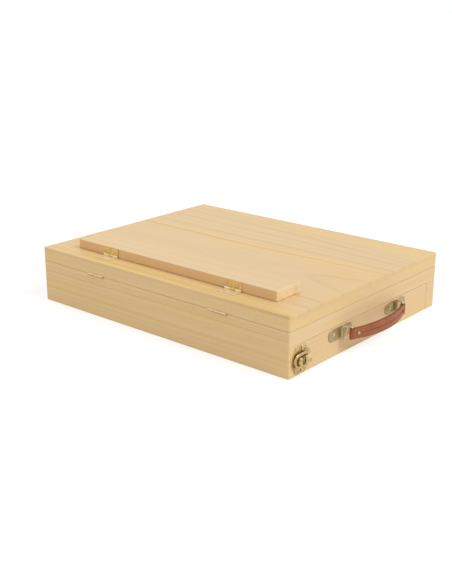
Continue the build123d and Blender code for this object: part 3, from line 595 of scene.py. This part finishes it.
def belt_surface(rows, columns):
    """The belt as a grid, its rows along the path and its columns round a flat section with soft corners,
    closer together by the crease and the edges. It is tallest in the middle, and eases to the ends by the
    square of the distance. Also gives how near each point is to the edge and the crease, from 0 to 1."""
    path = belt_path(rows)
    along, out = path[:, :1], path[:, 1:]
    ahead = np.roll(path, -1, axis=0) - np.roll(path, 1, axis=0)
    ahead /= np.linalg.norm(ahead, axis=1, keepdims=True)
    sideways, outwards = -ahead[:, 1:], ahead[:, :1]
    step = np.linspace(-1, 1, columns // 2)
    climb = step - column_crowding * np.sin(2 * np.pi * step)
    rise = np.concatenate([climb, climb[::-1]])[None, :]
    side = np.repeat([1.0, -1.0], columns // 2)[None, :]
    outside = side > 0

    share = np.clip(np.abs(along) / half_run, 0, 1.05)
    half_tall = (tall_middle + (tall_end - tall_middle) * share ** 2) / 2
    tall = rise * half_tall
    inset = np.clip((half_tall - np.abs(tall)) / edge_round, 0, 1)
    soft = np.sqrt(1 - (1 - inset) ** 2)
    outer_run = np.clip(out / run_fade, 0, 1) * outside
    lift, crease = belt_relief(along, tall, rise, outer_run, outside)
    off = side * layer / 2 * (edge_thin + (1 - edge_thin) * soft) + lift * soft

    radius = arc_radius + out + outwards * off
    turn = (along + sideways * off) / arc_radius
    x = arc_centre_x + radius * np.cos(turn)
    y = strap_centre_y + radius * np.sin(turn)
    return np.stack([x, y, strap_centre_z + tall], axis=-1), 1 - soft, crease


def ring_faces(rows, columns):
    """Four-cornered faces of a grid that closes on itself both ways, as the numbers of their corners."""
    i, j = np.meshgrid(np.arange(rows), np.arange(columns), indexing="ij")
    ahead, round_on = (i + 1) % rows, (j + 1) % columns
    corners = (i * columns + j, i * columns + round_on, ahead * columns + round_on, ahead * columns + j)
    return np.stack(corners, axis=-1).reshape(-1, 4)


def leather(name, edge, crease):
    """Waxed leather: a pebbled grain of small cells, darker in broad clouds, worn paler in patches, and
    burnished dark where the attribute edge says. Where the attribute crease says it is darker too, partly
    the crease's own burnish and partly painted shade of the groove."""
    brown, red_brown, worn = (0.325, 0.100, 0.038, 1), (0.415, 0.137, 0.055, 1), (0.48, 0.185, 0.088, 1)
    hollow, burnished, pressed = (0.20, 0.055, 0.020, 1), (0.17, 0.048, 0.020, 1), (0.15, 0.040, 0.014, 1)
    grain_wander = 0.5 * MM
    material, tree, shader = blank_material(name)
    coordinates = node(tree, "TexCoord").outputs["Object"]
    at_edge = node(tree, "Attribute", attribute_name=edge).outputs["Fac"]
    in_crease = node(tree, "Attribute", attribute_name=crease).outputs["Fac"]
    wander = noise(tree, coordinates, (900.0, 900.0, 900.0), detail=1.0).outputs["Color"]
    wander = vectors(tree, "MULTIPLY_ADD", wander, (grain_wander, grain_wander, grain_wander), coordinates)
    cell = node(tree, "TexVoronoi", {"Vector": wander, "Scale": 1500.0}, feature="DISTANCE_TO_EDGE")
    pebble = between(tree, cell.outputs["Distance"], 0.0, 0.22)
    cloud = noise(tree, coordinates, (150.0, 90.0, 150.0), detail=3.0, roughness=0.6).outputs["Fac"]
    mottle = noise(tree, coordinates, (700.0, 500.0, 700.0)).outputs["Fac"]
    pore = noise(tree, coordinates, (4200.0, 4200.0, 4200.0), detail=1.0).outputs["Fac"]

    colour = mixed(tree, between(tree, cloud, 0.32, 0.68), brown, red_brown)
    colour = mixed(tree, between(tree, mottle, 0.50, 0.75, 0.0, 0.35), colour, worn)
    colour = mixed(tree, between(tree, pebble, 0.0, 1.0, 0.38, 0.0), colour, hollow)
    colour = mixed(tree, maths(tree, "MULTIPLY", at_edge, 0.75), colour, burnished)
    # Painted shade of the groove, together with the crease's own burnish, darkens the crease.
    colour = mixed(tree, maths(tree, "MULTIPLY", in_crease, 0.90), colour, pressed)
    tree.links.new(colour, shader.inputs["Base Color"])
    rough = maths(tree, "MULTIPLY_ADD", mottle, 0.18, 0.42)
    tree.links.new(maths(tree, "MULTIPLY_ADD", at_edge, -0.10, rough), shader.inputs["Roughness"])
    bumps(tree, shader, maths(tree, "MULTIPLY_ADD", pore, 0.35, pebble), 0.45, leather_relief)
    shader.inputs["Specular IOR Level"].default_value = 0.28
    return material


belt_points, belt_edge, belt_crease = belt_surface(belt_rows, belt_columns)
belt_mesh = bpy.data.meshes.new("strap_belt")
belt_mesh.from_pydata(belt_points.reshape(-1, 3), [], ring_faces(belt_rows, belt_columns))
for name, values in (("edge", belt_edge), ("crease", belt_crease)):
    belt_mesh.attributes.new(name, "FLOAT", "POINT").data.foreach_set("value", values.ravel())
belt_mesh.shade_smooth()
belt_mesh.materials.append(leather("strap_leather", "edge", "crease"))
belt = bpy.data.objects.new("strap_belt", belt_mesh)
bpy.context.scene.collection.objects.link(belt)
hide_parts("handle_strap")
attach(belt, "handle_strap")
